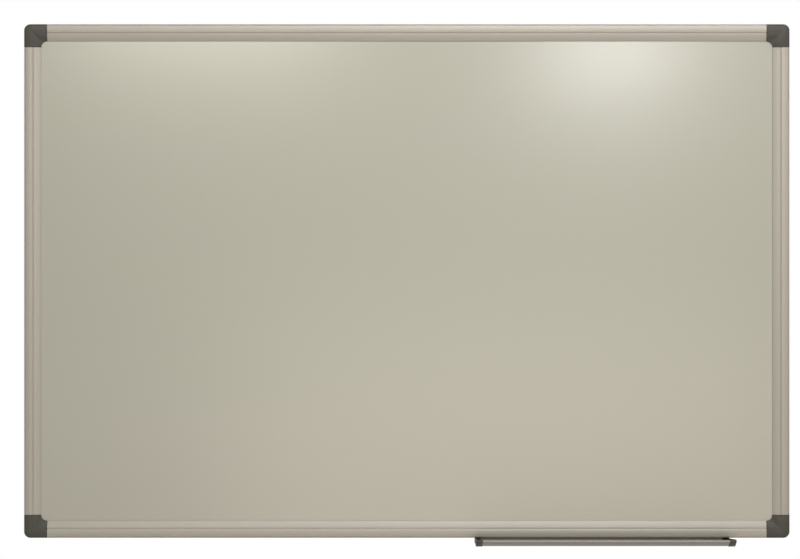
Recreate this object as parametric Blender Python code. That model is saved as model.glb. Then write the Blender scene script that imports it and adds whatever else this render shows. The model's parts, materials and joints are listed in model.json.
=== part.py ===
# Magnetic whiteboard: a steel writing panel in an aluminium frame that hangs on a wall by its corners.
# Metres, +Z up, +X to the right as seen from the front, which faces -Y.
# The origin is the middle of the board's outline, in the plane of the wall, y = 0.
#
# Sections are drawn in two measures. One runs from an outer edge of the board towards its middle and is
# called inset. The other runs from the wall towards the viewer and is called level.

import math

import bmesh
import bpy
from mathutils import Vector
from mathutils.geometry import tessellate_polygon

# Board
BOARD_WIDTH = 0.900
BOARD_HEIGHT = 0.604
STANDOFF = 0.0020           # from the wall to the back of the rails
CLEARANCE = 0.0003          # between pieces that touch, seat or slide
EDGE_BREAK = 0.0004         # chamfer on the edges that meet the wall side

# Writing panel, three bonded layers
SHEET_THICKNESS = 0.0005
CORE_THICKNESS = 0.0080
BACKING_THICKNESS = 0.0004

# Rails, one extrusion for all four sides
RAIL_WALL = 0.0012
RAIL_FACE = 0.0200          # width of the face as seen from the front
REAR_LIP = 0.0170           # width of the rear lip that holds the panel's back
FACE_RISE = 0.00365         # from the face's underside over the panel to its outer band
BAND_CROWN = 0.00025        # rise of the outer band's middle above its edges
SHOULDER_RADIUS = 0.0028
GROOVE_WIDTH = 0.0010
GROOVE_DEPTH = 0.0010
INNER_EDGE = 0.0009         # thickness of the face where it meets the writing sheet
CHAMBER_WIDTH = 0.0057      # of the stretch that takes a bracket's leg
SLOT_SETBACK = 0.0016       # from the rail's back to the undercut slot
SLOT_MOUTH = 0.0024
SLOT_HEAD = 0.0048          # width of the slot inside its mouth
SLOT_DEPTH = 0.0020         # depth of the slot inside its mouth

# Corners
CORNER_SIZE = 0.0270        # side of the square that a corner fills
CORNER_RADIUS = 0.0075
CAP_WALL = 0.0015
CAP_PROUD = 0.0006          # how far the cap stands above the rail's face
SKIRT_DEPTH = 0.0076        # of the cap's outer sides
LEG_LENGTH = 0.0380
LEG_TAPER = 0.0010
PEG_DIAMETER = 0.0032
PEG_LENGTH = 0.0097
PEG_INSET = 0.0065          # from the end of a corner's arm to a peg
WALL_HOLE = 0.0060
RECESS_DIAMETER = 0.0092    # for the head of a wall screw
RECESS_WALL = 0.0011
WALL_GRIP = 0.0050          # thickness under the head of a wall screw

# Fixing screws, from the back through a rail into a leg
FIXING_SHANK = 0.0029
FIXING_HEAD = 0.0056
FIXING_LENGTH = 0.0100
HEAD_RELIEF = 0.0004        # from the screw's head to the wall
CROSS_SPAN = 0.0030
CROSS_WIDTH = 0.0007
CROSS_DEPTH = 0.0008

# Pen tray
TRAY_LENGTH = 0.2994        # over both end caps
TRAY_RIGHT_GAP = 0.0706     # from the tray's right end to the board's right edge
TRAY_REACH = 0.0500         # how far the lip stands in front of the rail's face
TRAY_WALL = 0.0012
TRAY_DROP = 0.0039          # from the bottom of the rail to the tray's floor
LIP_RISE = 0.0067           # from the floor's middle to the middle of the bead
LIP_RUN = 0.0157            # length over which the floor curves up into the lip
BEAD_DIAMETER = 0.0030
FOOT_WIDTH = 0.0068         # of the block behind the trough
FOOT_HEIGHT = 0.0063
PORT_DIAMETER = 0.0030      # of the round channel for the end cap's spigot
PORT_MOUTH = 0.0016

# Tray end caps
END_CAP_LENGTH = 0.0075
END_WALL = 0.0020
END_CAP_SWELL = 0.0005      # how far an end cap stands proud of the tray all round
SPIGOT_LENGTH = 0.0080
TONGUE_WIDTH = 0.0240
TONGUE_THICKNESS = 0.0010
TONGUE_INSET = 0.0045       # from the foot to the tongue, along the floor

# Fineness of the round stretches
SHOULDER_STEPS = 5
CORNER_STEPS = 8
BAND_STEPS = 6
LIP_STEPS = 6
BEAD_STEPS = 14
HOLE_SIDES = 24
PEG_SIDES = 16
SCREW_SIDES = 16
SHARP_ANGLE = math.radians(32)
END_CAP_START = 95          # degrees round the bead where an end wall's top edge meets it

# Levels that follow from the sizes above
REAR_LIP_FRONT = STANDOFF + RAIL_WALL
BACKING_LEVEL = REAR_LIP_FRONT + CLEARANCE
CORE_LEVEL = BACKING_LEVEL + BACKING_THICKNESS + CLEARANCE
SHEET_LEVEL = CORE_LEVEL + CORE_THICKNESS + CLEARANCE
FACE_UNDERSIDE = SHEET_LEVEL + SHEET_THICKNESS + CLEARANCE
BAND_LEVEL = FACE_UNDERSIDE + FACE_RISE
RAIL_FRONT = BAND_LEVEL + BAND_CROWN
SLOT_LEVEL = STANDOFF + SLOT_SETBACK + SLOT_HEAD / 2
SLOT_TOP = SLOT_LEVEL + SLOT_HEAD / 2
CAP_BAND_LEVEL = BAND_LEVEL + CAP_PROUD
CAP_FRONT = RAIL_FRONT + CAP_PROUD
PARTING_LEVEL = CAP_FRONT - SKIRT_DEPTH
BRACKET_TOP = CAP_BAND_LEVEL - SHOULDER_RADIUS
LEG_TOP = BAND_LEVEL - GROOVE_DEPTH - RAIL_WALL - CLEARANCE

# Insets that follow from the sizes above
CHAMBER_START = RAIL_WALL + SLOT_DEPTH + RAIL_WALL
CHAMBER_END = CHAMBER_START + CHAMBER_WIDTH
WEB_END = CHAMBER_END + RAIL_WALL
GROOVE_START = (CHAMBER_END + WEB_END - GROOVE_WIDTH) / 2
GROOVE_END = GROOVE_START + GROOVE_WIDTH
PANEL_INSET = WEB_END + CLEARANCE
RAIL_END = CORNER_SIZE + CLEARANCE
LEG_INSET = (CHAMBER_START + CHAMBER_END) / 2
BOSS_INSET = CAP_WALL + CLEARANCE
HOLE_INSET = BOSS_INSET + RECESS_WALL + RECESS_DIAMETER / 2
PEG_CENTRE = (BOSS_INSET + WEB_END) / 2
FIXING_DISTANCE = CORNER_SIZE + LEG_LENGTH / 2

# Tray heights, measured up from the bottom of the board
TRAY_TOP = -CLEARANCE
FLOOR_MIDDLE = -TRAY_DROP - TRAY_WALL / 2
FOOT_BOTTOM = TRAY_TOP - FOOT_HEIGHT
FOOT_BACK = SLOT_LEVEL - FOOT_WIDTH / 2
FOOT_FRONT = SLOT_LEVEL + FOOT_WIDTH / 2
PORT_HEIGHT = TRAY_TOP - FOOT_HEIGHT / 2
BEAD_LEVEL = RAIL_FRONT + TRAY_REACH - BEAD_DIAMETER / 2
BEAD_HEIGHT = FLOOR_MIDDLE + LIP_RISE
LIP_RADIUS = (LIP_RUN ** 2 + LIP_RISE ** 2) / (2 * LIP_RISE)
LIP_SWEEP = math.atan2(LIP_RUN, LIP_RADIUS - LIP_RISE)
TRAY_CENTRE = BOARD_WIDTH / 2 - TRAY_RIGHT_GAP - TRAY_LENGTH / 2


def clear_scene():
    for old in list(bpy.data.objects):
        bpy.data.objects.remove(old, do_unlink=True)


def make_material(name, colour, roughness, metallic):
    material = bpy.data.materials.new(name)
    material.use_nodes = True
    shader = material.node_tree.nodes["Principled BSDF"]
    shader.inputs["Base Color"].default_value = (*colour, 1.0)
    shader.inputs["Roughness"].default_value = roughness
    shader.inputs["Metallic"].default_value = metallic
    material.diffuse_color = (*colour, 1.0)
    return material


def arc(centre, radius, start, end, steps):
    """Points on a circle from one angle to another, both in degrees and both ends included."""
    points = []
    for step in range(steps + 1):
        angle = math.radians(start + (end - start) * step / steps)
        points.append((centre[0] + radius * math.cos(angle), centre[1] + radius * math.sin(angle)))
    return points


# Meshes

def mesh_of(name, points, faces):
    """A closed mesh with shared points merged and its faces turned outwards."""
    mesh = bpy.data.meshes.new(name)
    mesh.from_pydata(points, [], faces)
    work = bmesh.new()
    work.from_mesh(mesh)
    bmesh.ops.remove_doubles(work, verts=work.verts, dist=1e-7)
    bmesh.ops.recalc_face_normals(work, faces=work.faces)
    work.to_mesh(mesh)
    work.free()
    return mesh


def loft(name, rings):
    """Closed rings with as many points each, joined one to the next and closed at both ends."""
    count = len(rings[0])
    points = [Vector(point) for ring in rings for point in ring]
    faces = [tuple(range(count)), tuple(range(len(points) - count, len(points)))]
    for row in range(len(rings) - 1):
        for column in range(count):
            after = (column + 1) % count
            low = row * count
            faces.append((low + column, low + after, low + count + after, low + count + column))
    return mesh_of(name, points, faces)


def extrude(name, outline, holes, start, end, place):
    """A flat outline with holes, extruded from start to end. place turns (a, b, distance) into a point."""
    loops = [outline, *holes]
    flat = [Vector((a, b, 0.0)) for loop in loops for a, b in loop]
    near = [place(point.x, point.y, start) for point in flat]
    far = [place(point.x, point.y, end) for point in flat]
    count = len(flat)
    faces = []
    if holes:
        for triangle in tessellate_polygon([[Vector((a, b, 0.0)) for a, b in loop] for loop in loops]):
            faces.append(tuple(triangle))
            faces.append(tuple(index + count for index in triangle))
    else:
        faces.append(tuple(range(count)))
        faces.append(tuple(range(count, 2 * count)))
    first = 0
    for loop in loops:
        for index in range(len(loop)):
            here = first + index
            after = first + (index + 1) % len(loop)
            faces.append((here, after, after + count, here + count))
        first += len(loop)
    return mesh_of(name, near + far, faces)


def turned(name, profile, sides, place):
    """A profile of (radius, distance) pairs turned about an axis. Its first and last radii are 0."""
    points = []
    rows = []
    for radius, distance in profile:
        if radius == 0:
            rows.append([len(points)] * sides)
            points.append(place(0.0, 0.0, distance))
            continue
        rows.append(list(range(len(points), len(points) + sides)))
        for side in range(sides):
            angle = 2 * math.pi * side / sides
            points.append(place(radius * math.cos(angle), radius * math.sin(angle), distance))
    faces = []
    for row, below in zip(rows, rows[1:]):
        for side in range(sides):
            after = (side + 1) % sides
            corners = (row[side], row[after], below[after], below[side])
            faces.append(tuple(dict.fromkeys(corners)))
    return mesh_of(name, points, faces)


def rod(name, centre, diameter, low, high, sides):
    """A round bar that runs from the wall towards the viewer, between two levels."""
    def place(a, b, level):
        return (centre[0] + a, -level, centre[1] + b)
    profile = [(0, low), (diameter / 2, low), (diameter / 2, high), (0, high)]
    return turned(name, profile, sides, place)


def block(name, low, high):
    """A box between two corners."""
    corners = [(low[0], low[2]), (high[0], low[2]), (high[0], high[2]), (low[0], high[2])]
    return extrude(name, corners, [], low[1], high[1], lambda a, b, y: (a, y, b))


def combined(name, base, steps):
    """A mesh after boolean steps. Each step is an operation, UNION or DIFFERENCE, and a mesh."""
    body = bpy.data.objects.new(name, base)
    bpy.context.scene.collection.objects.link(body)
    tools = []
    for index, (operation, mesh) in enumerate(steps):
        tool = bpy.data.objects.new(f"{name}_tool_{index}", mesh)
        bpy.context.scene.collection.objects.link(tool)
        tool.hide_render = True
        tool.display_type = "WIRE"
        change = body.modifiers.new(f"step_{index}", "BOOLEAN")
        change.operation = operation
        change.object = tool
        tools.append(tool)
    bpy.context.view_layer.update()
    shaped = body.evaluated_get(bpy.context.evaluated_depsgraph_get())
    result = bpy.data.meshes.new_from_object(shaped)
    result.name = name
    for used in [body, *tools]:
        bpy.data.objects.remove(used, do_unlink=True)
    return result


def smooth(mesh):
    mesh.shade_smooth()
    mesh.set_sharp_from_angle(angle=SHARP_ANGLE)


def add_piece(name, mesh, material, place=(0.0, 0.0, 0.0), turn=0.0, parent=None):
    """One piece. place is where its mesh's origin goes, and turn is about the Y axis, in quarter turns."""
    piece = bpy.data.objects.new(name, mesh)
    bpy.context.scene.collection.objects.link(piece)
    if not mesh.materials:
        mesh.materials.append(material)
    piece.location = Vector(place) - (parent.location if parent else Vector())
    piece.rotation_euler = (0.0, turn * math.pi / 2, 0.0)
    piece.parent = parent
    return piece


# Rails

def slot_outline():
    """The undercut slot in a rail's outer side, from the back of its mouth to the front."""
    back_mouth = SLOT_LEVEL - SLOT_MOUTH / 2
    front_mouth = SLOT_LEVEL + SLOT_MOUTH / 2
    back_head = SLOT_LEVEL - SLOT_HEAD / 2
    floor = RAIL_WALL + SLOT_DEPTH
    return [
        (0.0, back_mouth), (RAIL_WALL, back_mouth), (RAIL_WALL, back_head), (floor, back_head),
        (floor, SLOT_TOP), (RAIL_WALL, SLOT_TOP), (RAIL_WALL, front_mouth), (0.0, front_mouth),
    ]


def band_points(start, end, base, crown, steps):
    """A shallow crowned band between two insets."""
    points = []
    for step in range(steps + 1):
        along = step / steps
        points.append((start + (end - start) * along, base + crown * 4 * along * (1 - along)))
    return points


def slope_points(start, end, high, low, steps):
    """A band that falls more and more steeply towards the writing sheet."""
    points = []
    for step in range(steps + 1):
        along = step / steps
        points.append((start + (end - start) * along, high - (high - low) * along ** 1.7))
    return points


def rail_outline():
    shoulder = (SHOULDER_RADIUS, BAND_LEVEL - SHOULDER_RADIUS)
    groove_floor = BAND_LEVEL - GROOVE_DEPTH
    outline = [(EDGE_BREAK, STANDOFF), (0.0, STANDOFF + EDGE_BREAK)]
    outline += slot_outline()
    outline += arc(shoulder, SHOULDER_RADIUS, 180, 90, SHOULDER_STEPS)
    outline += band_points(SHOULDER_RADIUS, GROOVE_START, BAND_LEVEL, BAND_CROWN, BAND_STEPS)[1:]
    outline += [(GROOVE_START, groove_floor), (GROOVE_END, groove_floor)]
    outline += slope_points(GROOVE_END, RAIL_FACE, BAND_LEVEL, FACE_UNDERSIDE + INNER_EDGE, BAND_STEPS)
    outline += [
        (RAIL_FACE, FACE_UNDERSIDE), (WEB_END, FACE_UNDERSIDE), (WEB_END, REAR_LIP_FRONT),
        (REAR_LIP, REAR_LIP_FRONT), (REAR_LIP, STANDOFF),
    ]
    return outline


def chamber_outline():
    """The hollow along a rail. Its narrow stretch beside the slot takes a bracket's leg."""
    under_groove = BAND_LEVEL - GROOVE_DEPTH - RAIL_WALL
    shoulder = (SHOULDER_RADIUS, BAND_LEVEL - SHOULDER_RADIUS)
    outline = [
        (CHAMBER_START, REAR_LIP_FRONT), (CHAMBER_END, REAR_LIP_FRONT), (CHAMBER_END, under_groove),
        (GROOVE_START - RAIL_WALL, under_groove), (GROOVE_START - RAIL_WALL, BAND_LEVEL - RAIL_WALL),
    ]
    outline += arc(shoulder, SHOULDER_RADIUS - RAIL_WALL, 90, 180, SHOULDER_STEPS - 2)
    outline += [(RAIL_WALL, SLOT_TOP + RAIL_WALL), (CHAMBER_START, SLOT_TOP + RAIL_WALL)]
    return outline


def rail_mesh(name, side):
    """A rail along X for a side of this length, seen as the top rail, with its outer edge at z = 0."""
    def place(inset, level, distance):
        return (distance, -level, -inset)
    end = side / 2 - RAIL_END
    rail = extrude(name, rail_outline(), [chamber_outline()], -end, end, place)
    hole = side / 2 - FIXING_DISTANCE
    cuts = []
    for x in (-hole, hole):
        cutter = rod(
            "fixing_hole", (x, -LEG_INSET), FIXING_SHANK + 2 * CLEARANCE,
            STANDOFF - RAIL_WALL, REAR_LIP_FRONT + RAIL_WALL, SCREW_SIDES,
        )
        cuts.append(("DIFFERENCE", cutter))
    mesh = combined(name, rail, cuts)
    smooth(mesh)
    return mesh


def add_rails(material):
    long_rail = rail_mesh("long_rail", BOARD_WIDTH)
    short_rail = rail_mesh("short_rail", BOARD_HEIGHT)
    half_width = BOARD_WIDTH / 2
    half_height = BOARD_HEIGHT / 2
    add_piece("top_rail", long_rail, material, (0.0, 0.0, half_height))
    add_piece("right_rail", short_rail, material, (half_width, 0.0, 0.0), 1)
    add_piece("bottom_rail", long_rail, material, (0.0, 0.0, -half_height), 2)
    add_piece("left_rail", short_rail, material, (-half_width, 0.0, 0.0), -1)


# Writing panel

def add_panel(sheet_material, core_material, backing_material):
    half_width = BOARD_WIDTH / 2 - PANEL_INSET
    half_height = BOARD_HEIGHT / 2 - PANEL_INSET
    layers = [
        ("backing_sheet", BACKING_LEVEL, BACKING_THICKNESS, backing_material),
        ("core_board", CORE_LEVEL, CORE_THICKNESS, core_material),
        ("writing_sheet", SHEET_LEVEL, SHEET_THICKNESS, sheet_material),
    ]
    for name, level, thickness, material in layers:
        low = (-half_width, -level - thickness, -half_height)
        high = (half_width, -level, half_height)
        add_piece(name, block(name, low, high), material)


# Corners. A corner is drawn as the top left one, in (across, down) from the board's corner, and its mesh
# has its origin on the axis of the wall screw. It mirrors about its own diagonal, so quarter turns give
# the other three.

def corner_place(across, down, level):
    return (across - HOLE_INSET, -level, HOLE_INSET - down)


def bracket_ring(offset, arm, level):
    """An L at one level, with its outer side this far in from the corner's outline."""
    centre = (CORNER_RADIUS, CORNER_RADIUS)
    end = [offset, BOSS_INSET, WEB_END, arm]
    outline = [(offset, CORNER_SIZE)]
    outline += arc(centre, CORNER_RADIUS - offset, 180, 270, CORNER_STEPS)
    outline += [(CORNER_SIZE, inset) for inset in end]
    outline += [(arm, arm)]
    outline += [(inset, CORNER_SIZE) for inset in end[:0:-1]]
    return [corner_place(across, down, level) for across, down in outline]


def leg_mesh(swapped):
    """A leg that goes into the chamber of a rail, tapered towards its tip."""
    low, high = CHAMBER_START + CLEARANCE, CHAMBER_END - CLEARANCE
    back, front = REAR_LIP_FRONT + CLEARANCE, LEG_TOP
    stations = [
        (CORNER_SIZE - RAIL_WALL, 0.0),
        (CORNER_SIZE + LEG_LENGTH - 4 * LEG_TAPER, 0.0),
        (CORNER_SIZE + LEG_LENGTH, LEG_TAPER),
    ]
    rings = []
    for distance, taper in stations:
        corners = [
            (low + taper, back + taper), (high - taper, back + taper),
            (high - taper, front - taper), (low + taper, front - taper),
        ]
        if swapped:
            rings.append([corner_place(inset, distance, level) for inset, level in corners])
        else:
            rings.append([corner_place(distance, inset, level) for inset, level in corners])
    return loft("leg", rings)


def corner_rod(name, across, down, diameter, low, high, sides):
    """A round bar from the wall side of a corner towards the viewer, between two levels."""
    spot = corner_place(across, down, 0.0)
    return rod(name, (spot[0], spot[2]), diameter, low, high, sides)


def bracket_mesh():
    stack = [
        (EDGE_BREAK, REAR_LIP, 0.0),
        (0.0, REAR_LIP, EDGE_BREAK),
        (0.0, REAR_LIP, REAR_LIP_FRONT),
        (0.0, WEB_END, REAR_LIP_FRONT),
        (0.0, WEB_END, PARTING_LEVEL),
        (BOSS_INSET, WEB_END, PARTING_LEVEL),
        (BOSS_INSET, WEB_END, BRACKET_TOP),
    ]
    body = loft("bracket", [bracket_ring(*level) for level in stack])
    beyond = 2 * CAP_WALL
    peg_end = CORNER_SIZE - PEG_INSET
    peg_floor = CAP_FRONT - CAP_WALL - PEG_LENGTH - CLEARANCE
    peg_hole = PEG_DIAMETER + 2 * CLEARANCE
    pilot = FIXING_SHANK + 2 * CLEARANCE
    pilot_floor = STANDOFF + FIXING_LENGTH
    steps = [("UNION", leg_mesh(False)), ("UNION", leg_mesh(True))]
    rods = [
        ("hole", HOLE_INSET, HOLE_INSET, WALL_HOLE, -beyond, BRACKET_TOP, HOLE_SIDES),
        ("recess", HOLE_INSET, HOLE_INSET, RECESS_DIAMETER, WALL_GRIP, BRACKET_TOP + beyond, HOLE_SIDES),
        ("peg_hole", peg_end, PEG_CENTRE, peg_hole, peg_floor, BRACKET_TOP + beyond, PEG_SIDES),
        ("peg_hole", PEG_CENTRE, peg_end, peg_hole, peg_floor, BRACKET_TOP + beyond, PEG_SIDES),
        ("pilot", FIXING_DISTANCE, LEG_INSET, pilot, -beyond, pilot_floor, SCREW_SIDES),
        ("pilot", LEG_INSET, FIXING_DISTANCE, pilot, -beyond, pilot_floor, SCREW_SIDES),
    ]
    for cut in rods:
        steps.append(("DIFFERENCE", corner_rod(*cut)))
    mesh = combined("corner_bracket", body, steps)
    smooth(mesh)
    return mesh


def cap_section():
    """The cap's shell in (inset, level): up its outer side, over the face, and back under it."""
    outer_centre = (SHOULDER_RADIUS, CAP_BAND_LEVEL - SHOULDER_RADIUS)
    lip_top = FACE_UNDERSIDE + INNER_EDGE + CAP_PROUD
    slope_start = GROOVE_START
    section = [(0.0, PARTING_LEVEL + CLEARANCE)]
    section += arc(outer_centre, SHOULDER_RADIUS, 180, 90, SHOULDER_STEPS)
    section += band_points(SHOULDER_RADIUS, slope_start, CAP_BAND_LEVEL, BAND_CROWN, BAND_STEPS - 2)[1:]
    section += slope_points(slope_start, RAIL_FACE, CAP_BAND_LEVEL, lip_top, BAND_STEPS)[1:]
    section.append((RAIL_FACE, FACE_UNDERSIDE))
    section.append((RAIL_FACE - CAP_WALL, FACE_UNDERSIDE))
    under_high = CAP_BAND_LEVEL - CAP_WALL
    under_low = lip_top - CAP_WALL / 2
    section += slope_points(slope_start, RAIL_FACE - CAP_WALL, under_high, under_low, BAND_STEPS // 2)[::-1]
    section += arc(outer_centre, SHOULDER_RADIUS - CAP_WALL, 90, 180, SHOULDER_STEPS - 2)
    section.append((CAP_WALL, PARTING_LEVEL + CLEARANCE))
    return section


def around_corner(inset, angle):
    """Where the shell's line at this inset passes, at an angle between 180 and 270 degrees."""
    if inset >= RAIL_FACE - CAP_WALL:
        centre, radius = CORNER_SIZE, CORNER_SIZE - inset
    else:
        centre, radius = max(CORNER_RADIUS, inset), max(CORNER_RADIUS - inset, 0.0)
    turn = math.radians(angle)
    return (centre + radius * math.cos(turn), centre + radius * math.sin(turn))


def cap_mesh():
    """The shell of the cap, swept round the corner, with its two pegs."""
    section = cap_section()
    rings = [[corner_place(inset, CORNER_SIZE, level) for inset, level in section]]
    for step in range(CORNER_STEPS + 1):
        angle = 180 + 90 * step / CORNER_STEPS
        rings.append([corner_place(*around_corner(inset, angle), level) for inset, level in section])
    rings.append([corner_place(CORNER_SIZE, inset, level) for inset, level in section])
    shell = loft("shell", rings)
    peg_end = CORNER_SIZE - PEG_INSET
    root = CAP_FRONT - CAP_WALL / 2
    tip = CAP_FRONT - CAP_WALL - PEG_LENGTH
    steps = []
    for across, down in ((peg_end, PEG_CENTRE), (PEG_CENTRE, peg_end)):
        steps.append(("UNION", corner_rod("peg", across, down, PEG_DIAMETER, tip, root, PEG_SIDES)))
    mesh = combined("corner_cap", shell, steps)
    smooth(mesh)
    return mesh


def screw_mesh():
    """A pan head screw on its own axis, head towards the wall, with a cross recess."""
    under_head = STANDOFF - CLEARANCE
    head_top = HEAD_RELIEF
    edge = (under_head - head_top) / 3
    tip = under_head + FIXING_LENGTH
    shank = FIXING_SHANK / 2
    profile = [
        (0, head_top), (FIXING_HEAD / 2 - edge, head_top), (FIXING_HEAD / 2, head_top + edge),
        (FIXING_HEAD / 2, under_head), (shank, under_head), (shank, tip - 2 * shank), (0, tip),
    ]
    screw = turned("screw", profile, SCREW_SIDES, lambda a, b, level: (a, -level, b))
    floor = -head_top - CROSS_DEPTH
    above = -head_top + CROSS_DEPTH
    half_span = CROSS_SPAN / 2
    half_width = CROSS_WIDTH / 2
    across = block("cross", (-half_span, floor, -half_width), (half_span, above, half_width))
    upright = block("cross", (-half_width, floor, -half_span), (half_width, above, half_span))
    mesh = combined("fixing_screw", screw, [("DIFFERENCE", across), ("DIFFERENCE", upright)])
    smooth(mesh)
    return mesh


def corner_table():
    """Each corner's name, its sign in X and Z, and its quarter turns from the top left one."""
    return [
        ("top_left", -1, 1, 0),
        ("top_right", 1, 1, 1),
        ("bottom_right", 1, -1, 2),
        ("bottom_left", -1, -1, 3),
    ]


def add_corners(bracket_material, cap_material, screw_material):
    bracket = bracket_mesh()
    cap = cap_mesh()
    screw = screw_mesh()
    for corner, side, up, turn in corner_table():
        axis = (side * (BOARD_WIDTH / 2 - HOLE_INSET), 0.0, up * (BOARD_HEIGHT / 2 - HOLE_INSET))
        add_piece(f"corner_bracket_{corner}", bracket, bracket_material, axis, turn)
        add_piece(f"corner_cap_{corner}", cap, cap_material, axis, turn)
        rail_screws = [
            ("across", BOARD_WIDTH / 2 - FIXING_DISTANCE, BOARD_HEIGHT / 2 - LEG_INSET),
            ("down", BOARD_WIDTH / 2 - LEG_INSET, BOARD_HEIGHT / 2 - FIXING_DISTANCE),
        ]
        for way, x, z in rail_screws:
            add_piece(f"fixing_screw_{corner}_{way}", screw, screw_material, (side * x, 0.0, up * z))


# Pen tray. Its section is drawn in (level, height), with heights up from the bottom of the board.

def tongue_outline():
    """The T-shaped key that runs in the rail's slot, from its back to its front."""
    neck = SLOT_MOUTH / 2 - CLEARANCE
    head = SLOT_HEAD / 2 - CLEARANCE
    low = RAIL_WALL + CLEARANCE
    high = RAIL_WALL + SLOT_DEPTH - CLEARANCE
    half = [(neck, TRAY_TOP), (neck, low), (head, low), (head, high)]
    back = [(SLOT_LEVEL - across, height) for across, height in half]
    front = [(SLOT_LEVEL + across, height) for across, height in half[::-1]]
    return back + front


def lip_side(wall, side, bead):
    """One face of the curved lip, from the floor to the bead. side is 1 for the face that holds the pens."""
    centre = (BEAD_LEVEL - LIP_RUN, FLOOR_MIDDLE + LIP_RADIUS)
    meets = math.sqrt((bead / 2) ** 2 - (wall / 2) ** 2) / LIP_RADIUS
    sweep = math.degrees(LIP_SWEEP - meets)
    return arc(centre, LIP_RADIUS - side * wall / 2, 270, 270 + sweep, LIP_STEPS)


def bead_outline(wall, bead, start=None):
    """The bead's round, from the face that holds the pens, over its top, to the lip's underside."""
    lean = math.degrees(LIP_SWEEP)
    neck = math.degrees(math.asin(wall / bead))
    first = 180 + lean - neck if start is None else start
    return arc((BEAD_LEVEL, BEAD_HEIGHT), bead / 2, first, lean + neck - 180, BEAD_STEPS)


def tray_outline():
    port = PORT_DIAMETER / 2
    half_mouth = math.degrees(math.asin(PORT_MOUTH / PORT_DIAMETER))
    outline = [(FOOT_BACK, TRAY_TOP)]
    outline += tongue_outline()
    outline += [(FOOT_FRONT, TRAY_TOP), (FOOT_FRONT, FLOOR_MIDDLE + TRAY_WALL / 2)]
    outline += lip_side(TRAY_WALL, 1, BEAD_DIAMETER)[:-1]
    outline += bead_outline(TRAY_WALL, BEAD_DIAMETER)
    outline += lip_side(TRAY_WALL, -1, BEAD_DIAMETER)[-2::-1]
    outline += [(FOOT_FRONT, FLOOR_MIDDLE - TRAY_WALL / 2), (FOOT_FRONT, FOOT_BOTTOM)]
    outline += [(FOOT_BACK, FOOT_BOTTOM), (FOOT_BACK, PORT_HEIGHT - PORT_MOUTH / 2)]
    outline += arc((SLOT_LEVEL, PORT_HEIGHT), port, half_mouth - 180, 180 - half_mouth, PEG_SIDES - 2)
    outline.append((FOOT_BACK, PORT_HEIGHT + PORT_MOUTH / 2))
    return outline


def tray_place(level, height, distance):
    """A point of the tray, whose meshes have their origin in the slot, at the middle of the tray."""
    return (distance, SLOT_LEVEL - level, height)


def end_cap_outline():
    """The end wall of an end cap: the tray's section filled in up to a line that rises to the bead."""
    wall = TRAY_WALL + 2 * END_CAP_SWELL
    bead = BEAD_DIAMETER + 2 * END_CAP_SWELL
    outline = [(FOOT_BACK, TRAY_TOP)]
    outline += tongue_outline()
    outline.append((CAP_FRONT + CLEARANCE, TRAY_TOP))
    outline += bead_outline(wall, bead, END_CAP_START)
    outline += lip_side(wall, -1, bead)[-2::-1]
    outline += [(FOOT_FRONT, FLOOR_MIDDLE - wall / 2), (FOOT_FRONT, FOOT_BOTTOM), (FOOT_BACK, FOOT_BOTTOM)]
    return outline


def trough_outline():
    """What is cut from an end cap so that the tray's trough runs on into it."""
    wall = TRAY_WALL + 2 * END_CAP_SWELL
    bead = BEAD_DIAMETER + 2 * END_CAP_SWELL
    first = 180 + math.degrees(LIP_SWEEP) - math.degrees(math.asin(wall / bead))
    beyond = BEAD_HEIGHT + 2 * bead
    outline = [(FOOT_FRONT, FLOOR_MIDDLE + wall / 2)]
    outline += lip_side(wall, 1, bead)[:-1]
    outline += arc((BEAD_LEVEL, BEAD_HEIGHT), bead / 2, first, END_CAP_START, LIP_STEPS)
    outline += [(outline[-1][0], beyond), (FOOT_FRONT, beyond)]
    return outline


def end_cap_mesh(side):
    """An end cap on the right, side 1, or the left, side -1, end of the tray."""
    inner = TRAY_LENGTH / 2 - END_CAP_LENGTH + CLEARANCE
    outer = TRAY_LENGTH / 2

    def place(level, height, distance):
        return tray_place(level, height, side * distance)

    def spigot_place(a, b, distance):
        return tray_place(SLOT_LEVEL + a, PORT_HEIGHT + b, side * distance)
    body = extrude("end_cap", end_cap_outline(), [], inner, outer, place)
    trough = extrude("trough", trough_outline(), [], inner - END_WALL, outer - END_WALL, place)
    radius = PORT_DIAMETER / 2 - CLEARANCE
    ends = (inner - SPIGOT_LENGTH, inner + END_WALL)
    spigot = turned(
        "spigot", [(0, ends[0]), (radius, ends[0]), (radius, ends[1]), (0, ends[1])], PEG_SIDES, spigot_place)
    top = FLOOR_MIDDLE - TRAY_WALL / 2 - CLEARANCE
    back = FOOT_FRONT + TONGUE_INSET
    corners = [
        (back, top), (back, top - TONGUE_THICKNESS),
        (back + TONGUE_WIDTH, top - TONGUE_THICKNESS), (back + TONGUE_WIDTH, top),
    ]
    tongue = extrude("tongue", corners, [], ends[0], ends[1], place)
    mesh = combined("tray_end_cap", body, [("DIFFERENCE", trough), ("UNION", spigot), ("UNION", tongue)])
    smooth(mesh)
    return mesh


def add_tray(tray_material, cap_material):
    carriage = bpy.data.objects.new("tray_carriage", None)
    bpy.context.scene.collection.objects.link(carriage)
    carriage.location = (TRAY_CENTRE, -SLOT_LEVEL, -BOARD_HEIGHT / 2)
    end = TRAY_LENGTH / 2 - END_CAP_LENGTH
    tray = extrude("pen_tray", tray_outline(), [], -end, end, tray_place)
    smooth(tray)
    add_piece("pen_tray", tray, tray_material, carriage.location, 0, carriage)
    for name, side in (("tray_end_cap_left", -1), ("tray_end_cap_right", 1)):
        add_piece(name, end_cap_mesh(side), cap_material, carriage.location, 0, carriage)


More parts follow.
